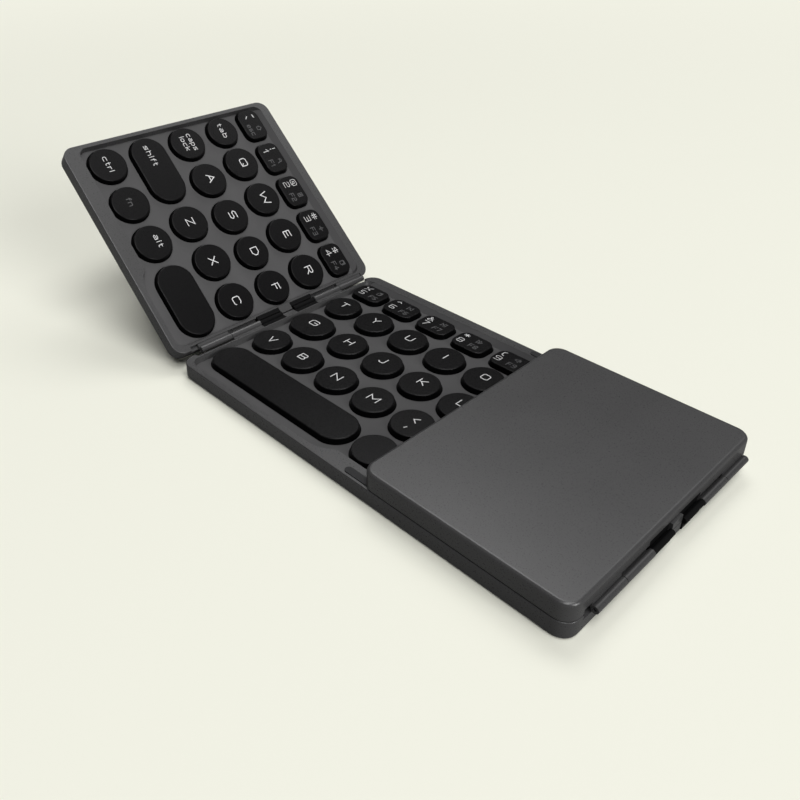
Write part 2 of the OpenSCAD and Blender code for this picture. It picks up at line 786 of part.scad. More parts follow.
module bumper_pads() {
    color(rubber) on_mid() translate([pad_x, 0, 0])
        for (side = [-1, 1])
            translate([0, side * (half_depth - pad_inset), rim_z - pad_seat])
                linear_extrude(pad_seat + pad_height) pad_outline();
}

module mid_key_deck() {
    color(deck_paint) on_mid() difference() {
        deck(mid_x0, mid_x1);
        translate([-half_span, 0, 0]) key_holes(mid_keys);
        at_mid_hinges() hinge_cut();
    }
}

module mid_bottom_cover() {
    color(paint) on_mid() difference() {
        cover(mid_x0, mid_x1, mid_screw_points);
        at_mid_hinges() hinge_cut();
    }
}

module mid_circuit_board() {
    color(board_green) on_mid() board(mid_x0, mid_x1);
}

module mid_dome_sheet() {
    color(rubber) on_mid()
        dome_sheet(mid_x0, mid_x1, [for (k = mid_keys) [k[0] - half_span, k[1]]]);
}

module mid_screws() {
    color(steel) on_mid() at_each(mid_screw_points) screw();
}

module mid_hinge_arms() {
    color(paint) on_mid() at_mid_hinges() inner_knuckles();
}

module hinge_pins() {
    color(steel) on_mid() at_mid_hinges() pins();
}

module hinge_boots() {
    color(rubber) on_mid() at_mid_hinges() boots();
}

// ---- Left panel ----

module left_top_frame() {
    color(paint) on_left() {
        rim(edge_gap, left_length) {
            sloped_well(hinge_rim, left_length - outer_rim, deck_front, deck_back, deck_r);
            space_swing(hinge_rim, left_space_u + left_space_w / 2 - key_r);
            hinge_cut();
        }
        recess_post();
    }
}

module left_key_deck() {
    color(deck_paint) on_left() difference() {
        deck(edge_gap, left_length);
        key_holes(left_keys);
        hinge_cut();
    }
}

module left_bottom_cover() {
    color(paint) on_left() difference() {
        cover(edge_gap, left_length, []);
        hinge_cut();
    }
}

module left_circuit_board() {
    color(board_green) on_left() board(edge_gap, left_length);
}

module left_dome_sheet() {
    color(rubber) on_left()
        dome_sheet(edge_gap, left_length, [for (k = left_keys) [k[0], k[1]]]);
}

module left_hinge_arms() {
    color(paint) on_left() outer_knuckles();
}

module left_hinge_liner() {
    color(rubber) on_left() liners();
}

// ---- Right panel ----

touch_x0 = edge_gap + touch_rim;
touch_x1 = right_length - touch_rim;
touch_y1 = half_depth - touch_rim;
touch_floor = rim_z - touch_inset - touch_t;
port_x = (edge_gap + right_length) / 2;
controller_front = half_depth - ledge - board_play - controller_y;
battery_back = controller_front - battery_gap;

module touch_outline(grow) {
    round_rect(touch_x0 - grow, touch_x1 + grow, -touch_y1 - grow, touch_y1 + grow, touch_r + grow);
}

// A plate with a seat for the touchpad and a window under it for its board
module right_top_frame() {
    color(paint) on_right() {
        rim(edge_gap, right_length) {
            translate([0, 0, touch_floor]) linear_extrude(touch_t + 1) touch_outline(touch_gap);
            translate([0, 0, deck_z - eps]) linear_extrude(rim_height) touch_outline(-window_inset);
            hinge_cut();
        }
        recess_post();
    }
}

module right_bottom_cover() {
    color(paint) on_right() difference() {
        translate([(edge_gap + right_length) / 2, 0, 0])
            edged_slab(right_length - edge_gap, depth, corner_r, [-axis_z, rim_z - lip_t])
                cover_section();
        translate([0, 0, floor_z]) linear_extrude(axis_z)
            round_rect(edge_gap + hinge_block, right_length - ledge, ledge - half_depth,
                half_depth - ledge, corner_r - ledge);
        translate([0, 0, deck_z]) linear_extrude(axis_z)
            round_rect(edge_gap + side_wall, right_length - side_wall, side_wall - half_depth,
                half_depth - side_wall, corner_r - side_wall);
        translate([port_x, half_depth, port_z]) rotate([90, 0, 0])
            translate([0, 0, -1]) linear_extrude(ledge + 2) port_outline(port_play);
        hinge_cut();
    }
}

module touchpad() {
    color([0.12, 0.12, 0.13]) on_right()
        translate([0, 0, touch_floor]) linear_extrude(touch_t) touch_outline(0);
}

module touchpad_board() {
    color(board_green) on_right()
        translate([0, 0, touch_floor - touch_board_t]) linear_extrude(touch_board_t)
            touch_outline(-window_inset - window_play);
}

module battery_cell() {
    color([0.7, 0.71, 0.73]) on_right() translate([port_x, battery_back, floor_z])
        linear_extrude(battery_t)
            round_rect(-battery_w / 2, battery_w / 2, -battery_y, 0, 1);
}

port_z = floor_z + board_t + port_h / 2;
module port_outline(grow) {
    half = port_w / 2 + grow;
    high = port_h / 2 + grow;
    round_rect(-half, half, -high, high, high - eps);
}

// The controller lies behind the battery, under the port at the back edge
module controller_board() {
    color(board_green) on_right()
        translate([port_x - controller_w / 2, controller_front, floor_z])
            cube([controller_w, controller_y, board_t]);
}

module charging_port() {
    color(steel) on_right() translate([port_x, half_depth - port_inset, port_z])
        rotate([90, 0, 0]) difference() {
            linear_extrude(port_y) port_outline(0);
            translate([0, 0, -eps]) linear_extrude(port_y - port_end) port_outline(-port_wall);
        }
}

module right_hinge_arms() {
    color(paint) on_right() outer_knuckles();
}

module right_hinge_liner() {
    color(rubber) on_right() liners();
}

// ---- Nodes ----

mid_top_frame();
mid_key_deck();
mid_bottom_cover();
mid_circuit_board();
mid_dome_sheet();
bumper_pads();
mid_screws();
mid_hinge_arms();
hinge_pins();
hinge_boots();
left_top_frame();
left_key_deck();
left_bottom_cover();
left_circuit_board();
left_dome_sheet();
left_hinge_arms();
left_hinge_liner();
right_top_frame();
right_bottom_cover();
touchpad();
touchpad_board();
battery_cell();
controller_board();
charging_port();
right_hinge_arms();
right_hinge_liner();
left_key(0);  // key_backquote
left_key(1);  // key_1
left_key(2);  // key_2
left_key(3);  // key_3
left_key(4);  // key_4
left_key(5);  // key_tab
left_key(6);  // key_q
left_key(7);  // key_w
left_key(8);  // key_e
left_key(9);  // key_r
left_key(10);  // key_caps
left_key(11);  // key_a
left_key(12);  // key_s
left_key(13);  // key_d
left_key(14);  // key_f
left_key(15);  // key_shift
left_key(16);  // key_z
left_key(17);  // key_x
left_key(18);  // key_c
left_key(19);  // key_ctrl
left_key(20);  // key_fn
left_key(21);  // key_alt
left_key(22);  // key_space_left
mid_key_group(mid_numbers);  // keys_mid_numbers
mid_key_group(mid_tops);  // keys_mid_top
mid_key_group(mid_homes);  // keys_mid_home
mid_key_group(mid_lowers);  // keys_mid_lower
mid_key_group([enter]);  // key_enter
mid_key_group([space_right]);  // key_space_right
mid_key_group(mid_modifiers);  // keys_mid_modifiers
mid_key_group([mid_arrows[0]]);  // key_up
mid_key_group([mid_arrows[1]]);  // key_left
mid_key_group([mid_arrows[2]]);  // key_down
mid_key_group([mid_arrows[3]]);  // key_right
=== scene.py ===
"""Looks of the tri-fold pocket keyboard: finishes, key legends, floor, light and camera.

Lengths are in metres, apart from the places and heights of the legends, which are in
millimetres. The frame is the CAD's own: the origin is the centre of the middle panel's underside,
+X runs to the right hinge and +Y to the back edge behind the number keys.
"""

import json
import math

import bmesh
import bpy
from mathutils import Matrix, Vector


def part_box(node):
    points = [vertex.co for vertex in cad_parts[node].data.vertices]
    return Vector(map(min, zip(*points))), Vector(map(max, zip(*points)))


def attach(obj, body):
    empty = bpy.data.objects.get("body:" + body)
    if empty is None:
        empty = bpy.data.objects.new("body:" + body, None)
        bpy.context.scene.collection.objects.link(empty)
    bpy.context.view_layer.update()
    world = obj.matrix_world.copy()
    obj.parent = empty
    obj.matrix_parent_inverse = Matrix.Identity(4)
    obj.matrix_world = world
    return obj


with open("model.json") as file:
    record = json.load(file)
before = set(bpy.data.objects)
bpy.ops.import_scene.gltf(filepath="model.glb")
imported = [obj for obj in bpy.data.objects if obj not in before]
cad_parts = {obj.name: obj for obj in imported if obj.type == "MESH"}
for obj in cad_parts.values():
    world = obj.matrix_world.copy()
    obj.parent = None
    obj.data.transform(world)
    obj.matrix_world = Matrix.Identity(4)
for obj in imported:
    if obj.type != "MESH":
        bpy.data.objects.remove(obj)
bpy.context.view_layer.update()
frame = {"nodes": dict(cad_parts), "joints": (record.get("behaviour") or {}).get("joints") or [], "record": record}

MM = 0.001

# ---- Places taken from the frame ----

JOINTS = {joint["name"]: joint for joint in frame["joints"]}
LEFT_AXIS = Vector(JOINTS["left_hinge"]["pos_m"])
RIGHT_AXIS = Vector(JOINTS["right_hinge"]["pos_m"])
LEFT_TILT = math.radians(-JOINTS["left_hinge"]["range_deg"][0])
FLOOR_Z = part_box("mid_bottom_cover")[0].z
HALF_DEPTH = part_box("mid_bottom_cover")[1].y
# Heights above the hinge axes, which are the same on both panels with keys
KEY_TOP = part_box("key_space_right")[1].z - LEFT_AXIS.z
DECK_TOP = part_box("mid_key_deck")[1].z - LEFT_AXIS.z
RIM_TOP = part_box("mid_top_frame")[1].z - LEFT_AXIS.z

# The panels' own frames: x from the left hinge axis, y from the middle, z from the axis's height
MID_PLACE = Matrix.Translation(LEFT_AXIS)
LEFT_PLACE = MID_PLACE @ Matrix.Rotation(LEFT_TILT, 4, "Y")


def add_object(name, data):
    """Puts a mesh, lamp or camera into the scene."""
    new_object = bpy.data.objects.new(name, data)
    bpy.context.scene.collection.objects.link(new_object)
    return new_object


def add_mesh(name, mesh, place, materials):
    """Puts a bmesh, drawn in the frame of a panel whose place is given, into the scene."""
    bmesh.ops.recalc_face_normals(mesh, faces=mesh.faces)
    data = bpy.data.meshes.new(name)
    mesh.to_mesh(data)
    mesh.free()
    for material in materials:
        data.materials.append(material)
    data.transform(place)
    return add_object(name, data)


# ---- Materials ----

# Noise scales, in cells a metre
DRIFT_SCALE = 60.0
PAINT_GRAIN = 2600.0
KEY_GRAIN = 5200.0
INK_GRAIN = 1800.0
BRUSH_LINES = 900.0
BRUSH_STRETCH = (1.0, 0.05, 1.0)
NOISE_ROUGHNESS = 0.55

# How deep the grain is, how strongly it shows, and how far roughness strays with it
GRAIN_DEPTH = 0.02 * MM
KEY_GRAIN_DEPTH = 0.01 * MM
GRAIN_STRENGTH = 0.5
BRUSH_STRENGTH = 0.2
ROUGH_SPREAD = 0.04
BRUSH_ROUGH_SPREAD = 0.15

# Linear colours, and the darkest shade of ink and brushed metal against their own
PAINT = (0.0535, 0.053, 0.0535)
DECK_PAINT = (0.082, 0.081, 0.082)
KEY_BLACK = (0.0048, 0.0046, 0.0049)
# Painted shade: the keys' sides and shoulders are coloured this much blacker than their tops
KEY_SIDE_PAINTED_SHADE = (0.0015, 0.0015, 0.0016)
INK_SHADE = 0.88
BRUSH_SHADE = 0.85

PAINT_ROUGH = 0.3
PAINT_GLOSS = 0.56
KEY_ROUGH = 0.3
KEY_TOP_GLOSS = 0.16
KEY_SIDE_GLOSS = 0.03
INK_ROUGH = 0.55
# A key's colour goes from its top's to the painted shade of its sides, and its gloss from the top's to the sides',
# between these depths below its top
SHOULDER_START = 0.1 * MM
SHOULDER_END = 0.45 * MM


def new_material(name):
    """A node material with its Principled shader, ready for more nodes."""
    material = bpy.data.materials.new(name)
    material.use_nodes = True
    shader = material.node_tree.nodes["Principled BSDF"]
    return material, material.node_tree, shader


def rgba(value):
    """A colour, or a grey of that level, with full alpha."""
    return (*value, 1) if isinstance(value, tuple) else (value, value, value, 1)


def scaled(color, factor):
    return tuple(c * factor for c in color)


def noise(tree, scale, detail=4.0, stretch=None):
    """Noise over object coordinates, with that many cells a metre."""
    source = tree.nodes.new("ShaderNodeTexCoord").outputs["Object"]
    if stretch:
        mapping = tree.nodes.new("ShaderNodeMapping")
        mapping.inputs["Scale"].default_value = stretch
        tree.links.new(source, mapping.inputs["Vector"])
        source = mapping.outputs["Vector"]
    texture = tree.nodes.new("ShaderNodeTexNoise")
    texture.inputs["Scale"].default_value = scale
    texture.inputs["Detail"].default_value = detail
    texture.inputs["Roughness"].default_value = NOISE_ROUGHNESS
    tree.links.new(source, texture.inputs["Vector"])
    return texture.outputs["Fac"]


def ramp(tree, source, low, high, start=0.3, end=0.7):
    """A ramp between two colours or two levels, as the source goes from start to end."""
    node = tree.nodes.new("ShaderNodeValToRGB")
    for element, position, value in zip(node.color_ramp.elements, (start, end), (low, high)):
        element.position = position
        element.color = rgba(value)
    tree.links.new(source, node.inputs["Fac"])
    return node.outputs["Color"]


def bump(tree, shader, source, strength, distance):
    node = tree.nodes.new("ShaderNodeBump")
    node.inputs["Strength"].default_value = strength
    node.inputs["Distance"].default_value = distance
    tree.links.new(source, node.inputs["Height"])
    tree.links.new(node.outputs["Normal"], shader.inputs["Normal"])


def finish_material(name, color, rough, specular=0.5, metal=0.0, spread=0.06,
                    grain=PAINT_GRAIN, grain_depth=GRAIN_DEPTH):
    """A sprayed or moulded finish: a colour that drifts by spread, a fine grain and uneven
    gloss."""
    material, tree, shader = new_material(name)
    drift = noise(tree, DRIFT_SCALE)
    tree.links.new(ramp(tree, drift, scaled(color, 1 - spread), scaled(color, 1 + spread)),
                   shader.inputs["Base Color"])
    shader.inputs["Metallic"].default_value = metal
    shader.inputs["Specular IOR Level"].default_value = specular
    fine = noise(tree, grain, detail=2.0)
    tree.links.new(ramp(tree, fine, rough - ROUGH_SPREAD, rough + ROUGH_SPREAD),
                   shader.inputs["Roughness"])
    bump(tree, shader, fine, GRAIN_STRENGTH, grain_depth)
    return material


def keycap_material(name, place):
    """Black plastic with a satin top; its shoulders and sides are duller, and are painted blacker as painted
    shade. The place is that of the key's panel, along whose Z the key is pressed."""
    material = finish_material(name, KEY_BLACK, KEY_ROUGH, KEY_TOP_GLOSS, spread=0.05,
                               grain=KEY_GRAIN, grain_depth=KEY_GRAIN_DEPTH)
    tree = material.node_tree
    shader = tree.nodes["Principled BSDF"]
    up = place.to_3x3().col[2]
    where = tree.nodes.new("ShaderNodeTexCoord")
    along = tree.nodes.new("ShaderNodeVectorMath")
    along.operation = "DOT_PRODUCT"
    along.inputs[1].default_value = up
    tree.links.new(where.outputs["Object"], along.inputs[0])
    level = place.translation.dot(up) + KEY_TOP
    height = tree.nodes.new("ShaderNodeMapRange")
    height.inputs["From Min"].default_value = level - SHOULDER_END
    height.inputs["From Max"].default_value = level - SHOULDER_START
    tree.links.new(along.outputs["Value"], height.inputs["Value"])
    top_color = shader.inputs["Base Color"].links[0].from_socket
    # Below the shoulder the sides take the painted shade colour, and the top keeps its own colour
    mix = tree.nodes.new("ShaderNodeMixRGB")
    mix.inputs["Color1"].default_value = rgba(KEY_SIDE_PAINTED_SHADE)
    tree.links.new(height.outputs["Result"], mix.inputs["Fac"])
    tree.links.new(top_color, mix.inputs["Color2"])
    tree.links.new(mix.outputs["Color"], shader.inputs["Base Color"])
    gloss = tree.nodes.new("ShaderNodeMapRange")
    gloss.inputs["To Min"].default_value = KEY_SIDE_GLOSS
    gloss.inputs["To Max"].default_value = KEY_TOP_GLOSS
    tree.links.new(height.outputs["Result"], gloss.inputs["Value"])
    tree.links.new(gloss.outputs["Result"], shader.inputs["Specular IOR Level"])
    return material


def ink_material(name, color):
    """Printed ink: nearly flat, with the slight unevenness of a screen print."""
    material, tree, shader = new_material(name)
    worn = noise(tree, INK_GRAIN, detail=3.0)
    tree.links.new(ramp(tree, worn, scaled(color, INK_SHADE), color, start=0.25, end=0.6),
                   shader.inputs["Base Color"])
    shader.inputs["Roughness"].default_value = INK_ROUGH
    return material


def brushed_material(name, color, rough):
    """Turned or drawn metal, with fine lines along Y."""
    material, tree, shader = new_material(name)
    lines = noise(tree, BRUSH_LINES, stretch=BRUSH_STRETCH)
    tree.links.new(ramp(tree, lines, scaled(color, BRUSH_SHADE), color),
                   shader.inputs["Base Color"])
    shader.inputs["Metallic"].default_value = 1.0
    tree.links.new(ramp(tree, lines, rough, rough + BRUSH_ROUGH_SPREAD), shader.inputs["Roughness"])
    bump(tree, shader, lines, BRUSH_STRENGTH, GRAIN_DEPTH)
    return material


MATERIALS = {
    "frame": finish_material("frame_paint", PAINT, PAINT_ROUGH, PAINT_GLOSS),
    "cover": finish_material("cover_paint", PAINT, PAINT_ROUGH, PAINT_GLOSS, spread=0.05),
    "deck": finish_material("deck_paint", DECK_PAINT, rough=0.45, specular=0.04),
    "hinge": finish_material("hinge_paint", scaled(PAINT, 0.95), PAINT_ROUGH, PAINT_GLOSS),
    "keycap": keycap_material("key_plastic", MID_PLACE),
    "steel": brushed_material("pin_steel", (0.5, 0.5, 0.52), rough=0.3),
    "boot_rubber": finish_material("boot_rubber", (0.003, 0.003, 0.0032), rough=0.7, specular=0.1),
    "pad_rubber": finish_material("pad_rubber", (0.010, 0.010, 0.011), rough=0.62),
    "board": finish_material("board_green", (0.02, 0.11, 0.05), rough=0.4),
    "touch_glass": finish_material("touch_surface", (0.022, 0.022, 0.024), rough=0.34, spread=0.03),
    "cell_foil": finish_material("cell_foil", (0.5, 0.5, 0.52), rough=0.35, metal=0.8),
    "port_metal": brushed_material("port_metal", (0.55, 0.55, 0.57), rough=0.28),
}
WHITE_INK = ink_material("white_ink", (0.7, 0.7, 0.7))
GREY_INK = ink_material("grey_ink", (0.078, 0.078, 0.08))

LEFT_KEYCAP = keycap_material("left_key_plastic", LEFT_PLACE)
# All other single keys are on the left panel
MID_KEYS = ("key_enter", "key_space_right", "key_up", "key_left", "key_down", "key_right")

for entry in frame["record"]["subparts"]:
    node = entry["node"]
    tilted = node.startswith("key_") and node not in MID_KEYS
    node_materials = frame["nodes"][node].data.materials
    node_materials.clear()
    node_materials.append(LEFT_KEYCAP if tilted else MATERIALS[entry["material_slot"]])


# ---- Ramps behind the number keys ----

# The deck ends HINGE_RIM from a hinge axis, OUTER_RIM from the left panel's free end, which is
# LEFT_LENGTH from its axis, and BACK_RIM from the back edge
HINGE_RIM = 4.0 * MM
OUTER_RIM = 2.3 * MM
LEFT_LENGTH = 92.7 * MM
BACK_RIM = 4.7 * MM
# The back rim's inner wall leans back by WALL_LEAN, and a ramp reaches in over the deck by RAMP_RUN
WALL_LEAN = 0.6 * MM
RAMP_RUN = 1.55 * MM
# How far a ramp is sunk into the deck and below the rim's top, and rooted in the rim's wall
RAMP_SINK = 0.03 * MM
RAMP_ROOT = 0.15 * MM


def add_ramp(name, body, place, start, end):
    """The dished edge that carries the deck up to the back rim, between two distances from the
    left hinge axis. Its back and its ends lie inside the rim."""
    deck_back = HALF_DEPTH - BACK_RIM
    crest = RIM_TOP - RAMP_SINK
    foot = DECK_TOP - RAMP_SINK
    section = [(deck_back - RAMP_RUN, foot), (deck_back + WALL_LEAN + RAMP_ROOT, foot),
               (deck_back + WALL_LEAN + RAMP_ROOT, crest), (deck_back + WALL_LEAN, crest),
               (deck_back - RAMP_RUN, foot + RAMP_SINK)]
    mesh = bmesh.new()
    rings = [[mesh.verts.new((x, y, z)) for y, z in section] for x in (start, end)]
    for i in range(len(section)):
        j = (i + 1) % len(section)
        mesh.faces.new((rings[0][i], rings[0][j], rings[1][j], rings[1][i]))
    mesh.faces.new(rings[0])
    mesh.faces.new(rings[1])
    piece = add_mesh(name, mesh, place, [MATERIALS["deck"]])
    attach(piece, body)


add_ramp("left_back_ramp", "left_panel", LEFT_PLACE, OUTER_RIM - LEFT_LENGTH, -HINGE_RIM)
add_ramp("mid_back_ramp", "base", MID_PLACE, HINGE_RIM, RIGHT_AXIS.x - LEFT_AXIS.x - HINGE_RIM)


# ---- Legends: a plain single-stroke alphabet ----

# Each stroke is a run of points, written as two digits: x from 0 to 6, y with the baseline at 2,
# small letters up to 6 and capitals up to 8. Strokes of one sign are divided by |.
SIGNS = {
    "A": "02 38 62|14 54", "B": "02 08 58 67 66 55 05|55 64 63 52 02",
    "C": "63 52 12 03 07 18 58 67", "D": "02 08 48 66 64 42 02", "E": "62 02 08 68|05 55",
    "F": "02 08 68|05 55", "G": "67 58 18 07 03 12 52 63 65 35", "H": "02 08|62 68|05 65",
    "I": "32 38", "J": "03 12 42 53 58", "K": "02 08|68 25 62|05 25", "L": "08 02 62",
    "M": "02 08 34 68 62", "N": "02 08 62 68", "O": "12 03 07 18 58 67 63 52 12",
    "P": "02 08 58 67 66 55 05", "Q": "12 03 07 18 58 67 63 52 12|44 62",
    "R": "02 08 58 67 66 55 05|35 62", "S": "02 52 63 64 55 15 06 07 18 68",
    "T": "08 68|38 32", "U": "08 03 12 52 63 68", "V": "08 32 68", "W": "08 12 36 52 68",
    "X": "02 68|08 62", "Y": "08 35 68|35 32", "Z": "08 68 02 62",
    "0": "12 03 07 18 48 57 53 42 12", "1": "16 38 32", "2": "07 18 48 57 56 45 15 04 02 52",
    "3": "08 58 52 02|15 55", "4": "42 48 04 64", "5": "58 08 05 45 54 53 42 02",
    "6": "58 18 07 03 12 42 53 54 45 05", "7": "08 58 22",
    "8": "15 06 07 18 48 57 56 45 15 04 03 12 42 53 54 45",
    "9": "02 42 53 57 48 18 07 06 15 55",
    "a": "16 46 55 52 12 03 14 54", "b": "08 02 42 53 55 46 06", "c": "52 12 03 05 16 56",
    "e": "52 12 03 05 16 46 55 54 04", "f": "12 17 28 38|06 36", "h": "08 02|06 46 55 52",
    "i": "32 36|37 38", "k": "08 02|56 14 52|04 14", "l": "38 32", "n": "02 06 46 55 52",
    "o": "12 03 05 16 46 55 53 42 12", "p": "00 06 46 55 53 42 02", "r": "02 06|05 16 36",
    "s": "02 42 53 44 14 05 16 56", "t": "18 13 22 32|06 36",
    "~": "15 26 35 46", "`": "27 45", "!": "38 35|33 32",
    "@": "44 24 26 46 43 63 67 58 18 07 03 12 52", "#": "22 28|42 48|04 64|06 66",
    "$": "03 43 54 45 15 06 17 57|38 32", "%": "02 68|06 07 17 16 06|53 54 44 43 53",
    "^": "16 38 56", "&": "62 17 28 37 36 14 03 12 32 55", "*": "34 38|17 55|15 57",
    "(": "48 27 23 42", ")": "28 47 43 22", "-": "15 55", "_": "02 62", "=": "14 54|16 56",
    "+": "15 55|33 37", "[": "48 18 12 42", "]": "28 58 52 22", "{": "48 37 36 25 34 33 42",
    "}": "28 37 36 45 34 33 22", "\\": "08 62", "|": "38 32", ";": "35 36|33 31",
    ":": "33 32|36 35", "'": "38 36", "\"": "28 26|48 46", ",": "33 21", ".": "32 33",
    "<": "57 14 51", ">": "17 54 11", "/": "02 68", "?": "07 18 48 57 56 35 34|33 32",
}

# Small pictures, drawn in the same way: those over the function numbers, erase and the arrows
PICTURES = {
    "home": "05 38 65|15 12 52 55", "find": "46 55 57 48 28 17 15 26 46|55 62",
    "pages": "12 17 57 52 12|28 68 63", "sun": "44 46 26 24 44|38 37|32 33|15 05|55 65",
    "grid": "12 18 58 52 12|32 38|15 55", "back": "35 08 02 35 68 62 35",
    "play": "08 02 35 08|48 42|62 68", "next": "08 02 35 08|38 32 65 38",
    "mute": "04 06 26 48 42 24 04|56 64|54 66", "quieter": "04 06 26 48 42 24 04|64 66",
    "louder": "04 06 26 48 42 24 04|54 56|63 67", "lock": "05 02 52 55 05|15 17 28 38 47 45",
    "erase": "35 05|17 05 13|18 68 62 12", "up": "15 38 55|38 32", "down": "15 32 55|38 32",
    "left": "37 05 33|05 65", "right": "37 65 33|05 65",
}

# Units of those drawings: the baseline, a capital's height, and the gap between two signs
BASELINE = 2
UNITS_TALL = 6.0
SIGN_GAP = 2.9

# How far the ink stands over its key and reaches into it, and what each point adds to both
INK_RISE = 0.02 * MM
INK_SINK = 0.01 * MM
INK_STEP = 0.0008 * MM
# Ends of a stroke that are no further apart are one point, and the stroke is a loop
SAME_POINT = 1e-9
# The outside of a corner reaches at most half a stroke's width divided by this
SHARPEST = 0.5

# Inks, as places in a legend's list of materials
WHITE, GREY = 0, 1


def stroke_runs(code):
    """The strokes of one sign as lists of (x, y), with the baseline at 0."""
    return [[(int(p[0]), int(p[1]) - BASELINE) for p in run.split()] for run in code.split("|")]


def add_ribbon(mesh, points, width, drawn, ink):
    """Adds a flat printed line along points to the mesh, as a closed thin prism. It thickens by a
    hair from point to point, counted on from the points of the sign that are drawn already, so
    that lines that cross don't share a face."""
    closed = (points[0] - points[-1]).length < SAME_POINT
    if closed:
        points = points[:-1]
    count = len(points)
    rings = []
    for i, point in enumerate(points):
        before = points[i - 1] if closed or i else None
        after = points[(i + 1) % count] if closed or i < count - 1 else None
        into = (point - before).normalized() if before is not None else (after - point).normalized()
        away = (after - point).normalized() if after is not None else into
        middle = (into + away).normalized()
        side = Vector((-middle.y, middle.x))
        reach = width / 2 / max(SHARPEST, abs(middle.dot(away)))
        if before is None:
            point = point - into * width / 2
        if after is None:
            point = point + into * width / 2
        lift = INK_STEP * (drawn + i)
        top = KEY_TOP + INK_RISE + lift
        bottom = KEY_TOP - INK_SINK - lift
        rings.append([mesh.verts.new((*(point + side * s * reach), z))
                      for s, z in ((1, top), (-1, top), (-1, bottom), (1, bottom))])
    pairs = list(zip(rings, rings[1:])) + ([(rings[-1], rings[0])] if closed else [])
    for a, b in pairs:
        for i in range(4):
            j = (i + 1) % 4
            mesh.faces.new((a[i], a[j], b[j], b[i])).material_index = ink
    if not closed:
        mesh.faces.new(rings[0]).material_index = ink
        mesh.faces.new(reversed(rings[-1])).material_index = ink


class Legends:
    """The printed marks of one moving body, in one object with a white and a grey ink."""

    def __init__(self, body, place):
        self.body = body
        self.place = place
        self.mesh = bmesh.new()

    def draw(self, codes, x, y, height, weight, ink, stretch):
        """Signs in a row, centred on x, y in millimetres. Height is that of capitals, a stroke is
        weight times as wide, and stretch widens the signs but not their strokes."""
        unit = height / UNITS_TALL * MM
        signs = [stroke_runs(code) for code in codes]
        reach = [(min(p[0] for run in sign for p in run), max(p[0] for run in sign for p in run))
                 for sign in signs]
        start = -(sum(b - a for a, b in reach) + SIGN_GAP * (len(signs) - 1)) / 2
        for sign, (low, high) in zip(signs, reach):
            drawn = 0
            for stroke in sign:
                points = [Vector((x * MM + (start + px - low) * unit * stretch,
                                  y * MM + (py - UNITS_TALL / 2) * unit)) for px, py in stroke]
                add_ribbon(self.mesh, points, height * weight * MM, drawn, ink)
                drawn += len(points)
            start += high - low + SIGN_GAP

    def word(self, text, x, y, height, weight, ink=WHITE, stretch=1.0):
        self.draw([SIGNS[sign] for sign in text], x, y, height, weight, ink, stretch)

    def picture(self, name, x, y, height, weight, ink=WHITE):
        self.draw([PICTURES[name]], x, y, height, weight, ink, 1.0)

    def build(self):
        name = self.body.replace("body_", "legend_")
        piece = add_mesh(name, self.mesh, self.place, [WHITE_INK, GREY_INK])
        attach(piece, self.body)


# ---- Key places, in millimetres from the left hinge axis and the panels' middle ----

# Rows from the back, with the number row's and the top row's distances from the back edge
NUMBERS, TOP, HOME, LOWER, BOTTOM = range(5)
BACK_EDGE = HALF_DEPTH / MM
NUMBERS_IN = 12.15
TOP_IN = 27.8
ROW_STEP = 18.4
ROW_Y = [BACK_EDGE - NUMBERS_IN] + [BACK_EDGE - TOP_IN - ROW_STEP * n for n in range(4)]

# The middle panel: the first and the last key from their hinge axes, the step to the second key,
# and the pitch after it. The home row has places of its own.
SPAN = (RIGHT_AXIS.x - LEFT_AXIS.x) / MM
LAST_COLUMN = 8
FIRST_KEY = 11.9
FIRST_STEP = 17.4
PITCH = 18.0
G_X = 13.85
H_X = 33.8
SEMICOLON_X = 105.8
ENTER_X = 147.3

# The left panel: distances from the hinge axis of the number keys and the letters
LEFT_FIRST_NUMBER = 12.5
LEFT_NUMBER_PITCH = 17.55
LEFT_LETTERS = [
    ("r", TOP, 12.5), ("e", TOP, 30.6), ("w", TOP, 48.7), ("q", TOP, 66.8),
    ("f", HOME, 11.9), ("d", HOME, 28.5), ("s", HOME, 46.0), ("a", HOME, 64.0),
    ("c", LOWER, 12.5), ("x", LOWER, 30.6), ("z", LOWER, 48.7),
]

# How far the letters of each row stand behind their keys' middle
LEFT_RISE = {TOP: 0.75, HOME: 0.8, LOWER: 0.15}
MID_RISE = {TOP: 1.0, HOME: 1.2, LOWER: 0.5}

# How much a letter is widened, and how far it stands right of its key's middle
LETTER_FIT = {
    "A": (1.2, -0.2), "B": (1.0, -0.3), "C": (1.05, 0.3), "D": (1.15, 0.25), "E": (0.93, 0.3),
    "F": (0.87, 0.7), "G": (1.3, 0.0), "H": (1.03, -0.35), "I": (1.0, -0.35), "J": (0.92, -0.7),
    "K": (0.97, 0.25), "M": (1.4, -0.1), "N": (1.15, -0.15), "Q": (1.18, 0.0), "R": (1.05, 0.0),
    "T": (1.0, -0.25), "V": (1.0, 0.2), "W": (1.85, 0.15), "Z": (0.97, -0.25),
}

# Marks of a number key: place off the key's middle, height, and stretch
DIGIT_MARK = (-3.2, -1.45, 2.55, 1.14)
SHIFTED_MARK = (-3.25, 2.3, 2.55, 1.14)
FUNCTION_MARK = (3.1, -1.95, 2.05, 0.74)
PICTURE_RIGHT, PICTURE_BEHIND, PICTURE_TALL = 3.1, 2.1, 2.2
# A number key's marks all move sideways by a drift. On the middle panel it grows by a step for
# each column, up to DRIFT_COLUMNS of them.
LEFT_DRIFT, FAR_LEFT_DRIFT = -0.3, -0.7
DRIFT_STEP, DRIFT_COLUMNS = -0.38, 4

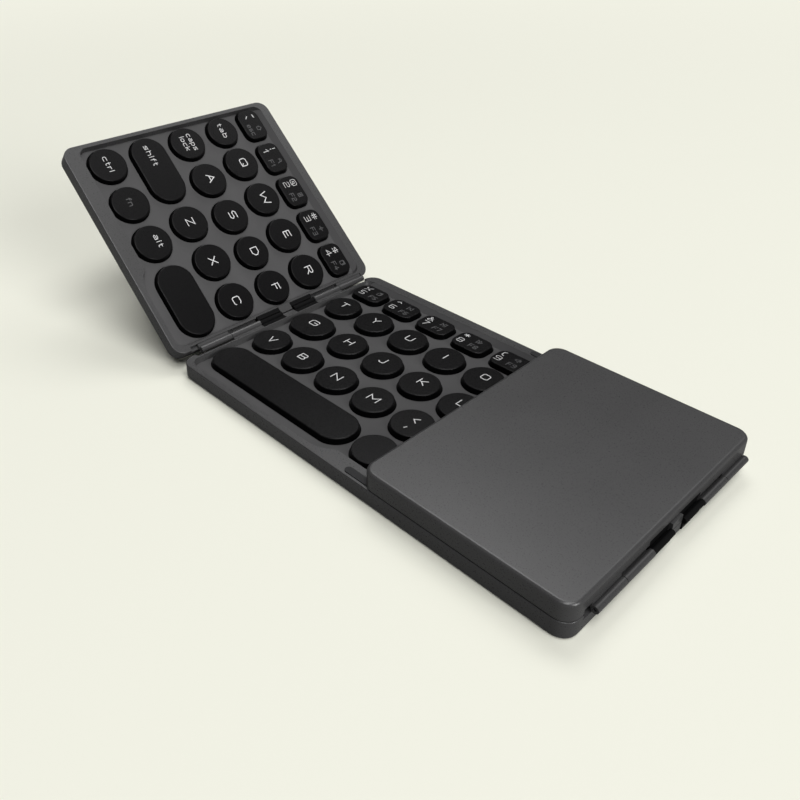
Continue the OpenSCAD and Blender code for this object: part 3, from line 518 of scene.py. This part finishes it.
# Heights of capitals, and the widths of strokes against those heights
LETTER_TALL, LETTER_WEIGHT = 2.95, 0.12
WORD_TALL, WORD_WEIGHT = 2.0, 0.12
SHIFT_TALL, BOLD_WEIGHT = 1.6, 0.16
PAIR_TALL, SIGN_WEIGHT = 2.5, 0.15
ERASE_TALL, PICTURE_WEIGHT = 3.0, 0.13
ARROW_TALL, ARROW_WEIGHT = 2.6, 0.14
DIGIT_WEIGHT, CROWDED_WEIGHT = 0.11, 0.085
CROWDED_SIGNS = "2356890@#$%&"
# How far a shifted sign and its plain one stand off the key's middle, and the step of two lines
PAIR_STEP = 2.1
LINE_STEP = 3.5

# Words of the left panel: key, distance from the hinge axis, y, stretch, weight, ink and lines
LEFT_WORDS = [
    ("tab", 83.5, ROW_Y[TOP], 1.07, WORD_WEIGHT, WHITE, ["tab"]),
    ("caps", 82.1, ROW_Y[HOME] + 0.4, 0.82, WORD_WEIGHT, WHITE, ["caps", "lock"]),
    ("shift", 80.9, ROW_Y[LOWER], 1.0, WORD_WEIGHT, WHITE, ["shift"]),
    ("ctrl", 82.05, ROW_Y[BOTTOM], 1.0, WORD_WEIGHT, WHITE, ["ctrl"]),
    ("alt", 45.75, ROW_Y[BOTTOM] + 2.2, 1.14, WORD_WEIGHT, WHITE, ["alt"]),
    ("fn", 64.3, ROW_Y[BOTTOM], 0.9, SIGN_WEIGHT, GREY, ["fn"]),
]


def mid_x(n):
    """The place of the middle panel's column n, counted from the left."""
    if n == 0:
        return FIRST_KEY
    return SPAN - FIRST_KEY if n == LAST_COLUMN else FIRST_KEY + FIRST_STEP + (n - 1) * PITCH


def number_weight(sign):
    """Crowded signs have the finer strokes."""
    return CROWDED_WEIGHT if sign in CROWDED_SIGNS else DIGIT_WEIGHT


def number_legend(legends, x, y, drift, digit, shifted, function, picture):
    """A number key: digit and shifted sign on the left, function number and picture in grey on
    the right, all moved sideways by drift."""
    for sign, (right, behind, height, stretch) in ((digit, DIGIT_MARK), (shifted, SHIFTED_MARK)):
        legends.word(sign, x + right + drift, y + behind, height, number_weight(sign),
                     stretch=stretch)
    right, behind, height, stretch = FUNCTION_MARK
    legends.word(function, x + right + drift, y + behind, height, SIGN_WEIGHT, GREY, stretch)
    legends.picture(picture, x + PICTURE_RIGHT + drift, y + PICTURE_BEHIND, PICTURE_TALL,
                    PICTURE_WEIGHT, GREY)


def letter_legend(legends, x, y, letter):
    stretch, step = LETTER_FIT.get(letter, (1.0, 0.0))
    legends.word(letter, x + step, y, LETTER_TALL, LETTER_WEIGHT, stretch=stretch)


def pair_legend(legends, x, y, plain, shifted):
    """A punctuation key: the shifted sign over the plain one."""
    legends.word(shifted, x, y + PAIR_STEP, PAIR_TALL, SIGN_WEIGHT)
    legends.word(plain, x, y - PAIR_STEP, PAIR_TALL, SIGN_WEIGHT)


def left_legends():
    """One object for each key of the left panel that has a legend."""
    def on(node):
        return Legends("body_key_" + node, LEFT_PLACE)

    numbers = [("4", LEFT_DRIFT, "4", "$", "F4", "pages"),
               ("3", LEFT_DRIFT, "3", "#", "F3", "sun"),
               ("2", LEFT_DRIFT, "2", "@", "F2", "grid"),
               ("1", FAR_LEFT_DRIFT, "1", "!", "F1", "find"),
               ("backquote", FAR_LEFT_DRIFT, "`", "~", "esc", "home")]
    for n, (node, drift, *marks) in enumerate(numbers):
        legends = on(node)
        x = -(LEFT_FIRST_NUMBER + n * LEFT_NUMBER_PITCH)
        number_legend(legends, x, ROW_Y[NUMBERS], drift, *marks)
        legends.build()

    for letter, row, away in LEFT_LETTERS:
        legends = on(letter)
        letter_legend(legends, -away, ROW_Y[row] + LEFT_RISE[row], letter.upper())
        legends.build()

    for node, away, y, stretch, weight, ink, lines in LEFT_WORDS:
        legends = on(node)
        for index, line in enumerate(lines):
            behind = LINE_STEP / 2 * (len(lines) - 1) - LINE_STEP * index
            legends.word(line, -away, y + behind, WORD_TALL, weight, ink, stretch)
        legends.build()


def mid_legends():
    """One object for each row of the middle panel, and for each of its single keys."""
    def on(node):
        return Legends("body_" + node, MID_PLACE)

    numbers = on("keys_mid_numbers")
    marks = [("5", "%", "F5", "pages"), ("6", "^", "F6", "back"), ("7", "&", "F7", "play"),
             ("8", "*", "F8", "next"), ("9", "(", "F9", "mute"), ("0", ")", "F10", "quieter"),
             ("-", "_", "F11", "louder"), ("=", "+", "F12", "lock")]
    for n, key_marks in enumerate(marks):
        drift = DRIFT_STEP * min(n, DRIFT_COLUMNS)
        number_legend(numbers, mid_x(n), ROW_Y[NUMBERS], drift, *key_marks)
    numbers.picture("erase", mid_x(LAST_COLUMN), ROW_Y[NUMBERS], ERASE_TALL, PICTURE_WEIGHT)
    numbers.build()

    top = on("keys_mid_top")
    for n, letter in enumerate("TYUIOP"):
        letter_legend(top, mid_x(n), ROW_Y[TOP] + MID_RISE[TOP], letter)
    for n, pair in enumerate([("[", "{"), ("]", "}"), ("\\", "|")], start=6):
        pair_legend(top, mid_x(n), ROW_Y[TOP], *pair)
    top.build()

    home = on("keys_mid_home")
    letter_legend(home, G_X, ROW_Y[HOME] + MID_RISE[HOME], "G")
    for n, letter in enumerate("HJKL"):
        letter_legend(home, H_X + n * PITCH, ROW_Y[HOME] + MID_RISE[HOME], letter)
    for n, pair in enumerate([(";", ":"), ("'", "\"")]):
        pair_legend(home, SEMICOLON_X + n * PITCH, ROW_Y[HOME], *pair)
    home.build()

    lower = on("keys_mid_lower")
    for n, letter in enumerate("VBNM"):
        letter_legend(lower, mid_x(n), ROW_Y[LOWER] + (MID_RISE[LOWER] if n else 0.0), letter)
    for n, pair in enumerate([(",", "<"), (".", ">"), ("/", "?")], start=4):
        pair_legend(lower, mid_x(n), ROW_Y[LOWER], *pair)
    lower.word("shift", mid_x(LAST_COLUMN), ROW_Y[LOWER], SHIFT_TALL, BOLD_WEIGHT)
    lower.build()

    enter = on("key_enter")
    enter.word("enter", ENTER_X, ROW_Y[HOME], WORD_TALL, BOLD_WEIGHT)
    enter.build()

    arrows = [("up", 7, LOWER), ("left", 6, BOTTOM), ("down", 7, BOTTOM),
              ("right", LAST_COLUMN, BOTTOM)]
    for sign, column, row in arrows:
        arrow = on("key_" + sign)
        arrow.picture(sign, mid_x(column), ROW_Y[row], ARROW_TALL, ARROW_WEIGHT)
        arrow.build()


left_legends()
mid_legends()


# ---- Floor, light and camera ----

# The paper that the camera sees, and the table whose light the object gets
BACKDROP = (0.88, 0.88, 0.776)
TABLE = (0.25, 0.25, 0.24)
FLOOR_HALF = 6.0
# Distances from the origin between which the lit floor fades into the backdrop
FADE_START = 0.3
FADE_END = 1.0

# Levels of light: a white surface under the dim studio alone is lit to AMBIENT
AMBIENT = 0.03
SOFTBOX_AWAY = 5.0
SOFTBOX_WIDTH = 2.5
# Name, height and turn in degrees as seen from the origin, and level
SOFTBOXES = [
    ("right_softbox", 22, 0, 0.55), ("front_softbox", 58, 315, 0.34), ("top_softbox", 74, 10, 0.28),
    ("back_softbox", 58, 135, 0.24), ("rear_softbox", 50, 90, 0.08),
]

CAMERA_PLACE = (0.14676, -0.18357, 0.17276)
CAMERA_AIM = (-0.63225, 0.60563, -0.48319)
# Lens and sensor in millimetres, and the shift in widths of the frame
CAMERA_LENS = 38.33
CAMERA_SENSOR = 36.0
CAMERA_SHIFT = (0.06247, -0.12266)
CAMERA_NEAR = 0.01


def camera_mix(tree, other, seen):
    """Shows seen to the camera's own rays, and the other shader to all other rays."""
    path = tree.nodes.new("ShaderNodeLightPath")
    mix = tree.nodes.new("ShaderNodeMixShader")
    tree.links.new(path.outputs["Is Camera Ray"], mix.inputs[0])
    tree.links.new(other.outputs[0], mix.inputs[1])
    tree.links.new(seen.outputs[0], mix.inputs[2])
    return mix.outputs[0]


def make_floor():
    """Pale paper, which fades into the backdrop away from the object and its shadow. The light
    that it throws back onto the object is that of a darker table."""
    material, tree, shader = new_material("floor_paper")
    shader.inputs["Base Color"].default_value = rgba(TABLE)
    shader.inputs["Roughness"].default_value = 1.0
    shader.inputs["Specular IOR Level"].default_value = 0.0
    paper = tree.nodes.new("ShaderNodeBsdfDiffuse")
    paper.inputs["Color"].default_value = rgba(BACKDROP)
    far = tree.nodes.new("ShaderNodeEmission")
    far.inputs["Color"].default_value = rgba(BACKDROP)
    where = tree.nodes.new("ShaderNodeTexCoord")
    distance = tree.nodes.new("ShaderNodeVectorMath")
    distance.operation = "LENGTH"
    tree.links.new(where.outputs["Object"], distance.inputs[0])
    fade = tree.nodes.new("ShaderNodeMapRange")
    fade.interpolation_type = "SMOOTHSTEP"
    fade.inputs["From Min"].default_value = FADE_START
    fade.inputs["From Max"].default_value = FADE_END
    tree.links.new(distance.outputs["Value"], fade.inputs["Value"])
    seen = tree.nodes.new("ShaderNodeMixShader")
    tree.links.new(fade.outputs["Result"], seen.inputs[0])
    tree.links.new(paper.outputs[0], seen.inputs[1])
    tree.links.new(far.outputs[0], seen.inputs[2])
    tree.links.new(camera_mix(tree, shader, seen), tree.nodes["Material Output"].inputs[0])

    data = bpy.data.meshes.new("floor")
    data.from_pydata([(x * FLOOR_HALF, y * FLOOR_HALF, FLOOR_Z)
                      for x, y in ((-1, -1), (1, -1), (1, 1), (-1, 1))], [], [(0, 1, 2, 3)])
    data.materials.append(material)
    floor = add_object("floor", data)


def make_world():
    """Pale paper all round, which only the camera sees, over a dim studio."""
    world = bpy.data.worlds.new("studio")
    bpy.context.scene.world = world
    world.use_nodes = True
    tree = world.node_tree
    light = tree.nodes["Background"]
    light.inputs["Color"].default_value = (1, 1, 1, 1)
    light.inputs["Strength"].default_value = AMBIENT
    seen = tree.nodes.new("ShaderNodeBackground")
    seen.inputs["Color"].default_value = rgba(BACKDROP)
    tree.links.new(camera_mix(tree, light, seen), tree.nodes["World Output"].inputs[0])


def add_softbox(name, height, turn, level):
    """A round softbox seen from the origin at those angles in degrees. A white surface that faces
    it is lit to that level."""
    data = bpy.data.lights.new(name, "AREA")
    data.shape = "DISK"
    data.size = SOFTBOX_WIDTH
    data.energy = level * (math.pi * SOFTBOX_AWAY) ** 2
    lamp = add_object(name, data)
    height, turn = math.radians(height), math.radians(turn)
    way = Vector((math.cos(height) * math.cos(turn), math.cos(height) * math.sin(turn),
                  math.sin(height)))
    lamp.location = way * SOFTBOX_AWAY
    lamp.rotation_euler = (-way).to_track_quat("-Z", "Y").to_euler()


def make_camera():
    data = bpy.data.cameras.new("camera")
    data.sensor_width = CAMERA_SENSOR
    data.lens = CAMERA_LENS
    data.shift_x, data.shift_y = CAMERA_SHIFT
    data.clip_start = CAMERA_NEAR
    camera = add_object("camera", data)
    camera.location = CAMERA_PLACE
    camera.rotation_euler = Vector(CAMERA_AIM).to_track_quat("-Z", "Y").to_euler()
    bpy.context.scene.camera = camera


make_floor()
make_world()
for softbox in SOFTBOXES:
    add_softbox(*softbox)
make_camera()
bpy.context.scene.view_settings.view_transform = "Standard"
